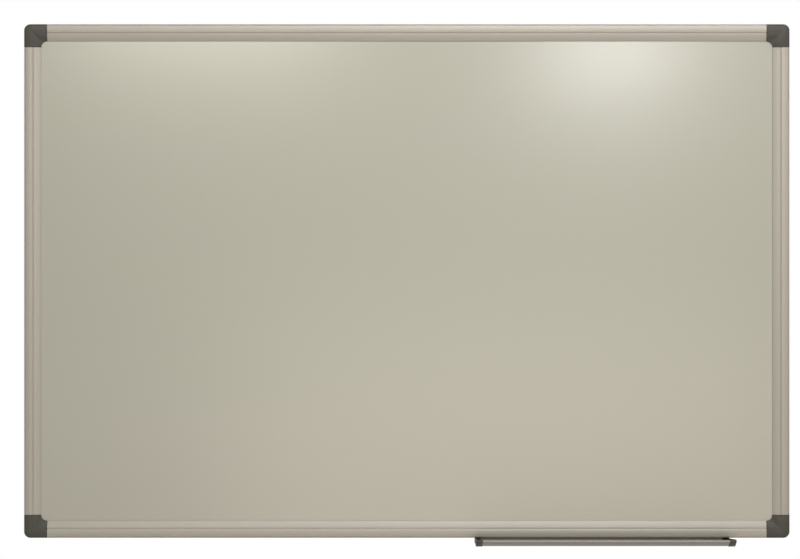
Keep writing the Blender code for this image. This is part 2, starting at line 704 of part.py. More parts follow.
def build():
    clear_scene()
    sheet = make_material("lacquered_steel", (0.52, 0.50, 0.41), 0.22, 0.0)
    core = make_material("fibreboard", (0.36, 0.24, 0.13), 0.85, 0.0)
    backing = make_material("galvanised_steel", (0.42, 0.43, 0.43), 0.45, 1.0)
    aluminium = make_material("anodised_aluminium", (0.50, 0.46, 0.40), 0.38, 1.0)
    bracket = make_material("moulded_plastic_bracket", (0.075, 0.066, 0.058), 0.60, 0.0)
    cap = make_material("moulded_plastic_cap", (0.098, 0.086, 0.074), 0.50, 0.0)
    zinc = make_material("zinc_plated_steel", (0.55, 0.54, 0.50), 0.35, 1.0)
    add_panel(sheet, core, backing)
    add_rails(aluminium)
    add_corners(bracket, cap, zinc)
    add_tray(aluminium, cap)


build()
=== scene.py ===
# Looks of the magnetic whiteboard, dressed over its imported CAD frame.
# Sections are drawn in millimetres in two measures: inset runs from an outer edge of the board towards its
# middle, and level runs from the wall towards the viewer. Corners are drawn as the top left one.

import json
import math

import bmesh
import bpy
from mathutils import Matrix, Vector
from mathutils.geometry import tessellate_polygon

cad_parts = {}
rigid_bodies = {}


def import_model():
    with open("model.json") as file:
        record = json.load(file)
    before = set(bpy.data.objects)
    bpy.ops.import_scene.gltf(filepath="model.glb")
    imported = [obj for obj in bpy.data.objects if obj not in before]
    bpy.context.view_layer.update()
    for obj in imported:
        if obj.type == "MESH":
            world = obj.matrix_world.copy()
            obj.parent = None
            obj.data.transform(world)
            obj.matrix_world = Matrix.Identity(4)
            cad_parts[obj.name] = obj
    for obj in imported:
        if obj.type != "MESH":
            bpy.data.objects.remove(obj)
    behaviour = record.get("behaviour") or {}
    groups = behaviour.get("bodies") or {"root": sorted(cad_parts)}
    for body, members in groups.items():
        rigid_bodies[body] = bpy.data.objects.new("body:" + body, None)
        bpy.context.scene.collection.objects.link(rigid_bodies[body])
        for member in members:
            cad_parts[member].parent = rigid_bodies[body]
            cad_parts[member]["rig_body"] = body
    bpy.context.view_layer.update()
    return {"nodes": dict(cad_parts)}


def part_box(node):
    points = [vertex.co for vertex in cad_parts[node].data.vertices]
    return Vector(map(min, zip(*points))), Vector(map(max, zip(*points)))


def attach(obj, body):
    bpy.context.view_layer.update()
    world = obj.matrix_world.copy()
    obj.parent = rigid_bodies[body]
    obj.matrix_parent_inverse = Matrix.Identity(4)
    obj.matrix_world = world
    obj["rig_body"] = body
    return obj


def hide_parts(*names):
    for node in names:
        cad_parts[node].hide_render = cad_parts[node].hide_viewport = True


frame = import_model()
mm = 0.001
cornerSteps = 3         # segments in the arc of a rounded corner
sharpAngle = 33         # degrees from which an edge is drawn sharp
bevelAngle = 40         # degrees from which a booleaned edge takes a bevel
print("frame loaded, with", len(frame["nodes"]), "nodes")


# Drawing helpers

def arcPoints(centre, radius, start, end, steps):
    # angles in degrees, both ends included
    turns = [math.radians(start + (end - start) * step / steps) for step in range(steps + 1)]
    return [(centre[0] + radius * math.cos(turn), centre[1] + radius * math.sin(turn)) for turn in turns]


def roundedLoop(corners):
    # a closed outline, where a corner given as (a, b, radius) becomes an arc
    points = []
    for index, corner in enumerate(corners):
        here = Vector(corner[:2])
        if len(corner) == 2:
            points.append(tuple(here))
            continue
        before = (Vector(corners[index - 1][:2]) - here).normalized()
        after = (Vector(corners[(index + 1) % len(corners)][:2]) - here).normalized()
        half = before.angle(after) / 2
        centre = here + (before + after).normalized() * corner[2] / math.sin(half)
        first = here + before * corner[2] / math.tan(half) - centre
        last = here + after * corner[2] / math.tan(half) - centre
        start = math.atan2(first.y, first.x)
        sweep = math.atan2(first.cross(last), first.dot(last))
        points += arcPoints(centre, corner[2], math.degrees(start), math.degrees(start + sweep), cornerSteps)
    return points


def shrunkLoop(loop, amount):
    # the same outline, drawn in by this much all round
    area = sum(loop[i - 1][0] * loop[i][1] - loop[i][0] * loop[i - 1][1] for i in range(len(loop)))
    side = 1 if area > 0 else -1
    drawn = []
    for index, point in enumerate(loop):
        ahead = Vector(loop[(index + 1) % len(loop)]) - Vector(point)
        behind = Vector(point) - Vector(loop[index - 1])
        normal = ahead.normalized() + behind.normalized()
        normal = Vector((-normal.y, normal.x)).normalized() * side
        drawn.append(tuple(Vector(point) + normal * amount))
    return drawn


def crownedBand(start, end, base, crown, steps):
    # a band that rises to its crown in the middle
    shares = [step / steps for step in range(steps + 1)]
    return [(start + (end - start) * s, base + crown * 4 * s * (1 - s)) for s in shares]


def fallingBand(start, end, high, low, steps, bend=1.7):
    # a band that falls more and more steeply
    shares = [step / steps for step in range(steps + 1)]
    return [(start + (end - start) * s, high - (high - low) * s ** bend) for s in shares]


def closedMesh(name, bm, keenAngle=sharpAngle):
    bmesh.ops.remove_doubles(bm, verts=bm.verts, dist=1e-6)
    bmesh.ops.recalc_face_normals(bm, faces=bm.faces)
    mesh = bpy.data.meshes.new(name)
    bm.to_mesh(mesh)
    bm.free()
    mesh.shade_smooth()
    mesh.set_sharp_from_angle(angle=math.radians(keenAngle))
    return mesh


def runSection(name, loops, low, high, place):
    # an outline with its holes, run from low to high; place turns (a, b, along) into a point in millimetres
    # the UV layer "drawn" holds metres along and metres around, for lines left by the die
    bm = bmesh.new()
    drawn = bm.loops.layers.uv.new("drawn")
    ends = []
    for along in (low, high):
        ends.append([[bm.verts.new(Vector(place(a, b, along)) * mm) for a, b in loop] for loop in loops])
    for loop, near, far in zip(loops, *ends):
        around = 0.0
        for index in range(len(loop)):
            after = (index + 1) % len(loop)
            reach = around + math.dist(loop[index], loop[after])
            face = bm.faces.new((near[index], near[after], far[after], far[index]))
            for corner, u, v in zip(face.loops, (low, low, high, high), (around, reach, reach, around)):
                corner[drawn].uv = (u * mm, v * mm)
            around = reach
    # an end is one face, or triangles where the outline has holes
    flat = [[Vector((a, b, 0.0)) for a, b in loop] for loop in loops]
    points = [point for loop in flat for point in loop]
    pieces = tessellate_polygon(flat) if len(loops) > 1 else [range(len(points))]
    for end in ends:
        verts = [vert for loop in end for vert in loop]
        for piece in pieces:
            face = bm.faces.new([verts[index] for index in piece])
            for corner, index in zip(face.loops, piece):
                corner[drawn].uv = points[index].xy * mm
    return closedMesh(name, bm)


def loftRings(name, rings, keenAngle=sharpAngle):
    # closed rings with as many points each, in millimetres, joined in turn and capped at both ends
    bm = bmesh.new()
    rows = [[bm.verts.new(Vector(point) * mm) for point in ring] for ring in rings]
    for row, following in zip(rows, rows[1:]):
        for index in range(len(row)):
            after = (index + 1) % len(row)
            bm.faces.new((row[index], row[after], following[after], following[index]))
    bm.faces.new(rows[0])
    bm.faces.new(rows[-1])
    return closedMesh(name, bm, keenAngle)


def turnedBar(name, profile, sides, place):
    # (radius, distance) pairs turned about an axis
    turns = [2 * math.pi * side / sides for side in range(sides)]
    rings = [[place(r * math.cos(turn), r * math.sin(turn), d) for turn in turns] for r, d in profile]
    return loftRings(name, rings)


def workedMesh(name, base, tools, bevel=0, segments=2, keenAngle=sharpAngle):
    # a mesh after its booleans, then one small bevel on its sharp edges
    body = bpy.data.objects.new(name, base)
    bpy.context.scene.collection.objects.link(body)
    used = [body]
    for operation, mesh in tools:
        tool = bpy.data.objects.new(name + "Tool", mesh)
        bpy.context.scene.collection.objects.link(tool)
        change = body.modifiers.new("work", "BOOLEAN")
        change.operation = operation
        change.solver = "EXACT"
        change.object = tool
        used.append(tool)
    if bevel:
        change = body.modifiers.new("edges", "BEVEL")
        change.width = bevel * mm
        change.segments = segments
        change.limit_method = "ANGLE"
        change.angle_limit = math.radians(bevelAngle)
        change.harden_normals = True
    bpy.context.view_layer.update()
    mesh = bpy.data.meshes.new_from_object(body.evaluated_get(bpy.context.evaluated_depsgraph_get()))
    mesh.name = name
    mesh.set_sharp_from_angle(angle=math.radians(keenAngle))
    for item in used:
        bpy.data.objects.remove(item, do_unlink=True)
    return mesh


def addPiece(name, mesh, material, node, place=(0.0, 0.0, 0.0), turn=0):
    # the piece rides on its node's body and stands for that node; turn is in quarter turns about Y
    piece = bpy.data.objects.new(name, mesh)
    bpy.context.scene.collection.objects.link(piece)
    mesh.materials.clear()
    mesh.materials.append(material)
    piece.location = place
    piece.rotation_euler = (0.0, turn * math.pi / 2, 0.0)
    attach(piece, frame["nodes"][node]["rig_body"])
    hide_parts(node)


# Material helpers

def hexColour(code):
    # an sRGB colour in linear light
    linear = []
    for start in (1, 3, 5):
        value = int(code[start:start + 2], 16) / 255
        linear.append(value / 12.92 if value <= 0.04045 else ((value + 0.055) / 1.055) ** 2.4)
    return (*linear, 1.0)


def addNode(tree, kind, settings=None, links=None):
    # one node; settings name its own options or its sockets, links name its sockets
    # in a colour mix, sockets 6 and 7 take the two colours
    node = tree.nodes.new(kind)
    for name, value in (settings or {}).items():
        if isinstance(name, str) and hasattr(node, name):
            setattr(node, name, value)
        else:
            node.inputs[name].default_value = value
    for name, source in (links or {}).items():
        tree.links.new(source, node.inputs[name])
    return node


def newMaterial(name, settings):
    material = bpy.data.materials.new(name)
    material.use_nodes = True
    shader = material.node_tree.nodes["Principled BSDF"]
    for socket, value in settings.items():
        shader.inputs[socket].default_value = value
    return material, material.node_tree, shader


def perMetre(spacing):
    # the scale that makes a pattern repeat at this spacing in millimetres
    return 1000 / spacing


middleOfNoise = {"From Min": 0.3, "From Max": 0.7}      # nearly all of a noise texture's values lie here


# Lacquered steel: a thin sheet, primed and roller coated with a glossy lacquer, then baked. The eye sees a
# pale even field with soft broad reflections, a faint orange peel, and traces of wiping in the gloss.

lacquer = {
    "plain": "#a6a093", "worn": "#a49f93", "roughness": (0.19, 0.22), "ior": 1.5,
    "peel": 3.2, "peelHeight": 0.010,       # spacing and height; real peel is nearer 1.5 and drawn coarser
    "wave": 260, "waveHeight": 0.35,        # the sheet's slow waviness over the core
    "wipe": (420, 70), "wipeLean": 12,      # length and width of a wiping stroke, and its lean in degrees
}


def lacqueredSteel():
    material, tree, shader = newMaterial("lacqueredSteel", {"IOR": lacquer["ior"]})
    spot = addNode(tree, "ShaderNodeTexCoord").outputs["Object"]
    stroke = addNode(tree, "ShaderNodeMapping", {
        "Rotation": (0.0, math.radians(lacquer["wipeLean"]), 0.0),
        "Scale": (perMetre(lacquer["wipe"][0]), 1.0, perMetre(lacquer["wipe"][1]))}, {"Vector": spot})
    wiping = addNode(tree, "ShaderNodeTexNoise", {
        "Scale": 1.0, "Detail": 1.0}, {"Vector": stroke.outputs["Vector"]})
    gloss = addNode(tree, "ShaderNodeMapRange", {
        "To Min": lacquer["roughness"][0], "To Max": lacquer["roughness"][1]},
        {"Value": wiping.outputs["Fac"]})
    tree.links.new(gloss.outputs["Result"], shader.inputs["Roughness"])
    tone = addNode(tree, "ShaderNodeMix", {
        "data_type": "RGBA", 6: hexColour(lacquer["plain"]), 7: hexColour(lacquer["worn"])},
        {0: wiping.outputs["Fac"]})
    tree.links.new(tone.outputs[2], shader.inputs["Base Color"])
    wave = addNode(tree, "ShaderNodeTexNoise", {
        "Scale": perMetre(lacquer["wave"]), "Detail": 1.0}, {"Vector": spot})
    slow = addNode(tree, "ShaderNodeBump", {
        "Distance": lacquer["waveHeight"] * mm}, {"Height": wave.outputs["Fac"]})
    peel = addNode(tree, "ShaderNodeTexNoise", {
        "Scale": perMetre(lacquer["peel"]), "Detail": 2.0}, {"Vector": spot})
    fine = addNode(tree, "ShaderNodeBump", {"Distance": lacquer["peelHeight"] * mm},
                   {"Height": peel.outputs["Fac"], "Normal": slow.outputs["Normal"]})
    tree.links.new(fine.outputs["Normal"], shader.inputs["Normal"])
    return material


# Anodised aluminium: extruded, etched matt and anodised in its natural colour. The eye sees a soft warm grey
# with faint lines drawn along its length by the die. The etched and anodised skin scatters most of the light,
# so it is drawn far less metallic than bare aluminium.

anodised = {
    "metallic": 0.15,
    "dieLine": (900, 1.1), "dieHeight": 0.006,      # length and spacing; real lines are 0.1 to 0.3 apart
    "grain": 0.9, "grainHeight": 0.004,             # the real etched grain is finer still than the lines
}


def anodisedAluminium(name, colours, roughness):
    # die lines and grain are both drawn coarser than they are, so that they show
    material, tree, shader = newMaterial(name, {"Metallic": anodised["metallic"]})
    drawn = addNode(tree, "ShaderNodeUVMap", {"uv_map": "drawn"}).outputs["UV"]
    length, spacing = anodised["dieLine"]
    along = addNode(tree, "ShaderNodeMapping", {
        "Scale": (perMetre(length), perMetre(spacing), 1.0)}, {"Vector": drawn})
    lines = addNode(tree, "ShaderNodeTexNoise", {
        "Scale": 1.0, "Detail": 3.0}, {"Vector": along.outputs["Vector"]})
    spot = addNode(tree, "ShaderNodeTexCoord").outputs["Object"]
    etch = addNode(tree, "ShaderNodeTexNoise", {
        "Scale": perMetre(anodised["grain"]), "Detail": 2.0}, {"Vector": spot})
    tone = addNode(tree, "ShaderNodeMix", {
        "data_type": "RGBA", 6: hexColour(colours[0]), 7: hexColour(colours[1])},
        {0: lines.outputs["Fac"]})
    tree.links.new(tone.outputs[2], shader.inputs["Base Color"])
    gloss = addNode(tree, "ShaderNodeMapRange", {
        **middleOfNoise, "To Min": roughness[0], "To Max": roughness[1]}, {"Value": lines.outputs["Fac"]})
    tree.links.new(gloss.outputs["Result"], shader.inputs["Roughness"])
    ridges = addNode(tree, "ShaderNodeBump", {
        "Distance": anodised["dieHeight"] * mm}, {"Height": lines.outputs["Fac"]})
    matt = addNode(tree, "ShaderNodeBump", {"Distance": anodised["grainHeight"] * mm},
                   {"Height": etch.outputs["Fac"], "Normal": ridges.outputs["Normal"]})
    tree.links.new(matt.outputs["Normal"], shader.inputs["Normal"])
    return material


# Moulded plastic: ABS for the caps and glass filled polyamide for the brackets, from spark eroded moulds. The
# eye sees a dull dark grey with a fine leathery grain and a slightly polished, uneven sheen.

moulded = {"ior": 1.53, "specular": 0.35, "cloud": 14}      # cloud is the width of a patch in the sheen


def mouldedPlastic(name, colours, roughness, grain, grainHeight):
    # spark grain is really 0.1 to 0.2 mm wide and is drawn coarser to show
    material, tree, shader = newMaterial(name, {
        "IOR": moulded["ior"], "Specular IOR Level": moulded["specular"]})
    spot = addNode(tree, "ShaderNodeTexCoord").outputs["Object"]
    cloud = addNode(tree, "ShaderNodeTexNoise", {
        "Scale": perMetre(moulded["cloud"]), "Detail": 3.0}, {"Vector": spot})
    tone = addNode(tree, "ShaderNodeMix", {
        "data_type": "RGBA", 6: hexColour(colours[0]), 7: hexColour(colours[1])},
        {0: cloud.outputs["Fac"]})
    tree.links.new(tone.outputs[2], shader.inputs["Base Color"])
    gloss = addNode(tree, "ShaderNodeMapRange", {
        **middleOfNoise, "To Min": roughness[0], "To Max": roughness[1]}, {"Value": cloud.outputs["Fac"]})
    tree.links.new(gloss.outputs["Result"], shader.inputs["Roughness"])
    pits = addNode(tree, "ShaderNodeTexVoronoi", {
        "feature": "SMOOTH_F1", "Scale": perMetre(grain)}, {"Vector": spot})
    skin = addNode(tree, "ShaderNodeBump", {
        "Distance": grainHeight * mm}, {"Height": pits.outputs["Distance"]})
    tree.links.new(skin.outputs["Normal"], shader.inputs["Normal"])
    return material


# Galvanised steel: a thin sheet dipped in zinc. The eye sees a dull silver grey with flat crystals some
# millimetres wide, each a little lighter or darker than the next.

galvanised = {
    "dark": "#9b9d9c", "light": "#adafae", "roughness": (0.40, 0.50),
    "crystal": 7, "bend": 9, "bendReach": 6,        # the crystals' spacing, and how their edges are bent
    "ripple": 90, "rippleHeight": 0.15,             # the sheet's slow waviness over the core
}


def galvanisedSteel():
    material, tree, shader = newMaterial("galvanisedSteel", {"Metallic": 1.0})
    spot = addNode(tree, "ShaderNodeTexCoord").outputs["Object"]
    shift = addNode(tree, "ShaderNodeTexNoise", {
        "Scale": perMetre(galvanised["bend"]), "Detail": 2.0}, {"Vector": spot})
    reach = galvanised["bendReach"] * mm
    bent = addNode(tree, "ShaderNodeVectorMath", {"operation": "MULTIPLY_ADD", 1: (reach, reach, reach)},
                   {0: shift.outputs["Color"], 2: spot})
    crystals = addNode(tree, "ShaderNodeTexVoronoi", {
        "Scale": perMetre(galvanised["crystal"])}, {"Vector": bent.outputs["Vector"]})
    shade = addNode(tree, "ShaderNodeSeparateColor", {}, {"Color": crystals.outputs["Color"]})
    tone = addNode(tree, "ShaderNodeMix", {
        "data_type": "RGBA", 6: hexColour(galvanised["dark"]), 7: hexColour(galvanised["light"])},
        {0: shade.outputs["Red"]})
    tree.links.new(tone.outputs[2], shader.inputs["Base Color"])
    gloss = addNode(tree, "ShaderNodeMapRange", {
        "To Min": galvanised["roughness"][0], "To Max": galvanised["roughness"][1]},
        {"Value": shade.outputs["Green"]})
    tree.links.new(gloss.outputs["Result"], shader.inputs["Roughness"])
    wave = addNode(tree, "ShaderNodeTexNoise", {
        "Scale": perMetre(galvanised["ripple"]), "Detail": 1.0}, {"Vector": spot})
    slow = addNode(tree, "ShaderNodeBump", {
        "Distance": galvanised["rippleHeight"] * mm}, {"Height": wave.outputs["Fac"]})
    tree.links.new(slow.outputs["Normal"], shader.inputs["Normal"])
    return material


# Fibreboard: wood fibres pressed hard with glue. The eye sees a plain brown with short pale fibres.

pressedFibre = {
    "dark": "#8f7453", "light": "#b4966d", "roughness": 0.85,
    "fibre": (3.0, 0.7, 1.2), "relief": 0.08,       # a fibre's size along each axis, and its height
}


def fibreboard():
    material, tree, shader = newMaterial("fibreboard", {"Roughness": pressedFibre["roughness"]})
    spot = addNode(tree, "ShaderNodeTexCoord").outputs["Object"]
    lie = addNode(tree, "ShaderNodeMapping", {
        "Scale": tuple(perMetre(size) for size in pressedFibre["fibre"])}, {"Vector": spot})
    fibres = addNode(tree, "ShaderNodeTexNoise", {
        "Scale": 1.0, "Detail": 5.0}, {"Vector": lie.outputs["Vector"]})
    tone = addNode(tree, "ShaderNodeMix", {
        "data_type": "RGBA", 6: hexColour(pressedFibre["dark"]), 7: hexColour(pressedFibre["light"])},
        {0: fibres.outputs["Fac"]})
    tree.links.new(tone.outputs[2], shader.inputs["Base Color"])
    rough = addNode(tree, "ShaderNodeBump", {
        "Distance": pressedFibre["relief"] * mm}, {"Height": fibres.outputs["Fac"]})
    tree.links.new(rough.outputs["Normal"], shader.inputs["Normal"])
    return material


# Zinc plated steel: small screws, barrel plated and passivated. The eye sees a bright bluish metal with
# patches of a faint straw tint.

zincPlate = {"bluish": "#b9bec4", "straw": "#cdc5ae", "roughness": (0.26, 0.38), "patch": 2.2}


def zincPlatedSteel():
    material, tree, shader = newMaterial("zincPlatedSteel", {"Metallic": 1.0})
    spot = addNode(tree, "ShaderNodeTexCoord").outputs["Object"]
    film = addNode(tree, "ShaderNodeTexNoise", {
        "Scale": perMetre(zincPlate["patch"]), "Detail": 3.0}, {"Vector": spot})
    tone = addNode(tree, "ShaderNodeMix", {
        "data_type": "RGBA", 6: hexColour(zincPlate["bluish"]), 7: hexColour(zincPlate["straw"])},
        {0: film.outputs["Fac"]})
    tree.links.new(tone.outputs[2], shader.inputs["Base Color"])
    gloss = addNode(tree, "ShaderNodeMapRange", {
        **middleOfNoise, "To Min": zincPlate["roughness"][0], "To Max": zincPlate["roughness"][1]},
        {"Value": film.outputs["Fac"]})
    tree.links.new(gloss.outputs["Result"], shader.inputs["Roughness"])
    return material


# colours, then the least and the most roughness, then a plastic's spacing and height of grain in millimetres
railAluminium = anodisedAluminium("anodisedAluminium", ("#9b948a", "#979086"), (0.42, 0.48))
# the tray takes the rails' anodised finish drawn darker, which is painted shade for a part that faces down
# and forward
trayAluminiumPaintedShade = anodisedAluminium("anodisedTrayAluminiumPaintedShade", ("#8e8780", "#89827b"), (0.44, 0.52))
capPlastic = mouldedPlastic("mouldedAbs", ("#37322b", "#332f28"), (0.52, 0.60), 0.8, 0.02)
bracketPlastic = mouldedPlastic("mouldedPolyamide", ("#3a3734", "#353230"), (0.60, 0.70), 0.9, 0.03)
screwZinc = zincPlatedSteel()
print("materials ready")


# Writing panel: three flat layers keep their CAD shapes and get their finishes

for node, material in (("writing_sheet", lacqueredSteel()), ("core_board", fibreboard()),
                       ("backing_sheet", galvanisedSteel())):
    sheetMesh = frame["nodes"][node].data
    sheetMesh.materials.clear()
    sheetMesh.materials.append(material)
print("writing panel finished")


# Rails

rail = {
    "back": 2.0, "lip": 17.0, "lipFront": 3.2,          # the rear lip that holds the panel
    "mouth": (4.8, 7.2), "head": (3.6, 8.4), "slotWall": 1.2, "slotFloor": 3.2,
    "shoulder": 2.8, "band": 16.95, "crown": 0.25,      # the crowned outer band
    "groove": (9.3, 10.9, 11.4), "grooveFloor": 15.95,  # its slope runs from the first to the second
    "grooveEdges": (0.5, 0.2),                          # radii where its two sides meet the bands
    "innerBand": 16.4, "innerBend": 1.4,                # the inner band starts lower than the outer one
    "face": 20.0, "faceEdge": 13.9, "underside": 13.05, "web": 11.3,
    "chamber": (4.4, 10.1), "chamberTop": 14.75, "chamberStep": 9.6, "shelf": 9.0, "wall": 1.2,
    "backEdge": 0.4, "softEdge": 0.3, "edge": 0.15, "fillet": 0.2,
    "bandSteps": 14, "crownSteps": 12, "innerSteps": 8,     # segments in its bands and arcs
    "screw": 46.0, "screwInset": 7.25, "screwHole": 3.5,    # from the board's corner, and from its edge
    "holeSides": 32, "past": 1.0,       # how far a drill runs past the lip's two faces
}


def railLoops():
    edge, softEdge, fillet, wall = rail["edge"], rail["softEdge"], rail["fillet"], rail["wall"]
    band, face, steps = rail["band"], rail["face"], rail["bandSteps"]
    shoulder, web = rail["shoulder"], rail["web"]
    centre = (shoulder, band - shoulder)
    slotWall, slotFloor = rail["slotWall"], rail["slotFloor"]
    outer = [(0, rail["back"], rail["backEdge"]), (0, rail["mouth"][0], edge)]
    outer += [(slotWall, rail["mouth"][0], edge), (slotWall, rail["head"][0], edge)]
    outer += [(slotFloor, rail["head"][0], fillet), (slotFloor, rail["head"][1], fillet)]
    outer += [(slotWall, rail["head"][1], edge), (slotWall, rail["mouth"][1], edge)]
    outer += [(0, rail["mouth"][1], edge)]
    outer += arcPoints(centre, shoulder, 180, 90, steps)
    first, foot, last = rail["groove"]
    outer += crownedBand(shoulder, first, band, rail["crown"], rail["crownSteps"])[1:-1]
    outer += [(first, band, rail["grooveEdges"][0]), (foot, rail["grooveFloor"], fillet)]
    outer += [(last, rail["grooveFloor"], fillet), (last, rail["innerBand"], rail["grooveEdges"][1])]
    outer += fallingBand(last, face, rail["innerBand"], rail["faceEdge"], steps, rail["innerBend"])[1:-1]
    outer += [(face, rail["faceEdge"], softEdge), (face, rail["underside"], edge)]
    outer += [(web, rail["underside"], fillet), (web, rail["lipFront"], fillet)]
    outer += [(rail["lip"], rail["lipFront"], softEdge), (rail["lip"], rail["back"], softEdge)]
    near, far = rail["chamber"]
    inner = [(near, rail["lipFront"], fillet), (far, rail["lipFront"], fillet)]
    inner += [(far, rail["chamberTop"], fillet), (rail["shelf"], rail["chamberTop"])]
    inner += [(rail["shelf"], band - wall)]
    inner += arcPoints(centre, shoulder - wall, 90, 180, rail["innerSteps"])
    inner += [(wall, rail["chamberStep"], fillet), (near, rail["chamberStep"], fillet)]
    return [roundedLoop(outer), roundedLoop(inner)]


def railMesh(name, low, high, boardSide):
    mesh = runSection(name, railLoops(), low, high, lambda inset, level, along: (along, -level, -inset))
    radius, past = rail["screwHole"] / 2, rail["past"]
    drill = [(radius, rail["back"] - past), (radius, rail["lipFront"] + past)]
    holes = []
    for side in (-1, 1):
        x = side * (boardSide / 2 - rail["screw"])
        holes.append(("DIFFERENCE", turnedBar("drill", drill, rail["holeSides"], lambda a, b, level: (
            x + a, -level, b - rail["screwInset"]))))
    return workedMesh(name, mesh, holes)


def addRails():
    top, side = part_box("top_rail"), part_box("right_rail")
    width, height = side[1].x * 2 / mm, top[1].z * 2 / mm
    longRail = railMesh("longRail", top[0].x / mm, top[1].x / mm, width)
    shortRail = railMesh("shortRail", side[0].z / mm, side[1].z / mm, height)
    addPiece("topRail", longRail, railAluminium, "top_rail", (0, 0, top[1].z), 0)
    addPiece("rightRail", shortRail, railAluminium, "right_rail", (side[1].x, 0, 0), 1)
    addPiece("bottomRail", longRail, railAluminium, "bottom_rail", (0, 0, -top[1].z), 2)
    addPiece("leftRail", shortRail, railAluminium, "left_rail", (-side[1].x, 0, 0), 3)


addRails()
print("rails ready")


# Corners. Each is drawn from the board's own corner, across and down from it.

boardCorners = {
    # the corner's name in the frame, its side across and up, and its quarter turns
    "TopLeft": ("top_left", -1, 1, 0),
    "TopRight": ("top_right", 1, 1, 1),
    "BottomRight": ("bottom_right", 1, -1, 2),
    "BottomLeft": ("bottom_left", -1, -1, 3),
}

cap = {
    "size": 27.0, "corner": 7.5, "skirt": 10.5, "wall": 1.5,
    "shoulder": 2.8, "band": 17.55, "crown": 0.25, "slope": 10.2,
    "face": 20.0, "faceEdge": 14.8, "underside": 13.05, "underFace": 18.5, "underEdge": 14.05,
    "crease": 0.8, "creaseBend": 4,     # radius of the mitre where the two arms meet, and how late it opens
    "edge": 0.25, "endEdge": ((0, 0.8), (0.3, 0.24), (1, 0)),   # an end's rounding, as shares of the edge
    "sharpAngle": 38, "turnSteps": 20,
    "shoulderSteps": 12, "crownSteps": 10, "slopeSteps": 14, "underSteps": 8,
    "pegs": ((20.5, 6.55), (6.55, 20.5)), "peg": 3.2, "pegTip": 6.6, "pegRoot": 16.6,
    "pegNose": (0.4, 0.6), "pegSides": 32,      # the nose narrows this much over this length
}


def capSection():
    # its section in (inset, level), and the number of points that lie on its outer surface
    shoulder, band, slope = cap["shoulder"], cap["band"], cap["slope"]
    centre = (shoulder, band - shoulder)
    edge, under = cap["edge"], band - cap["wall"]
    over = [(0, cap["skirt"], edge)]
    over += arcPoints(centre, shoulder, 180, 90, cap["shoulderSteps"])
    over += crownedBand(shoulder, slope, band, cap["crown"], cap["crownSteps"])[1:-1]
    over += fallingBand(slope, cap["face"], band, cap["faceEdge"], cap["slopeSteps"])[:-1]
    over += [(cap["face"], cap["faceEdge"], edge), (cap["face"], cap["underside"], edge)]
    split = len(roundedLoop([*over, (cap["underFace"], cap["underside"], edge)])) - (cornerSteps + 1)
    below = [(cap["underFace"], cap["underside"], edge)]
    below += fallingBand(slope, cap["underFace"], under, cap["underEdge"], cap["underSteps"])[::-1]
    below += arcPoints(centre, shoulder - cap["wall"], 90, 180, cap["underSteps"])
    below += [(cap["wall"], cap["skirt"], edge)]
    return roundedLoop(over + below), split


def creaseRadius(inset, innermost):
    # the radius with which a line at this inset turns from one arm into the other
    if inset < cap["slope"]:
        return max(cap["corner"] - inset, cap["crease"])
    outermost = cap["size"] - cap["edge"]
    share = min((inset - cap["slope"]) / (innermost - cap["slope"]), 1.0)
    last = outermost - max(inset, innermost)
    return cap["crease"] + (last - cap["crease"]) * share ** cap["creaseBend"]


def capMesh():
    section, split = capSection()
    edge, size = cap["edge"], cap["size"]
    ends = [(size - edge * back, edge * drawIn) for back, drawIn in cap["endEdge"]]
    rings = []
    for along, drawIn in ends:
        rings.append([(inset, -level, -along) for inset, level in shrunkLoop(section, drawIn)])
    for step in range(cap["turnSteps"] + 1):
        turn = math.radians(180 + 90 * step / cap["turnSteps"])
        ring = []
        for index, (inset, level) in enumerate(section):
            radius = creaseRadius(inset, cap["face"] if index < split else cap["underFace"])
            centre = inset + radius
            ring.append((centre + radius * math.cos(turn), -level, -centre - radius * math.sin(turn)))
        rings.append(ring)
    for along, drawIn in ends[::-1]:
        rings.append([(along, -level, -inset) for inset, level in shrunkLoop(section, drawIn)])
    radius = cap["peg"] / 2
    narrowed, noseLength = cap["pegNose"]
    profile = [(radius - narrowed, cap["pegTip"]), (radius, cap["pegTip"] + noseLength)]
    profile += [(radius, cap["pegRoot"])]
    pegs = []
    for across, down in cap["pegs"]:
        pegs.append(("UNION", turnedBar("peg", profile, cap["pegSides"], lambda a, b, level: (
            across + a, -level, b - down))))
    shell = loftRings("shell", rings, cap["sharpAngle"])
    return workedMesh("cornerCap", shell, pegs, keenAngle=cap["sharpAngle"])


bracket = {
    "size": 27.0, "corner": 7.5, "pad": 17.0, "padLevel": 3.2, "arm": 11.3, "armFillet": 0.6,
    "ledge": 10.2, "boss": 1.8, "top": 14.75, "backEdge": 0.4, "backShare": 0.3, "edge": 0.2,
    "outerEdge": 0.5,       # larger than any drawing in, so that no outline crosses itself
    "armStart": 1.0, "bossStart": 2.0,      # both lie inside the plate
    "leg": (4.7, 9.8, 3.5, 14.45), "legStart": 25.0, "legEnd": 65.0, "legEdge": 0.4,
    "taper": (1.0, 4.0),    # a leg's end narrows this much on each side, over this length
    "hole": (7.5, 7.5, 6.0), "recess": (9.2, 5.0), "flare": 0.35, "rim": 0.3,
    "pegHole": 3.8, "pegFloor": 6.3, "pegNose": 0.5,
    "pilot": 3.5, "pilotTop": 12.0, "screw": (46.0, 7.25),
    "skim": 0.01, "past": 1.0,      # how far past a surface a flare and a drill end
    "turnSteps": 16, "drillSides": 48,
}


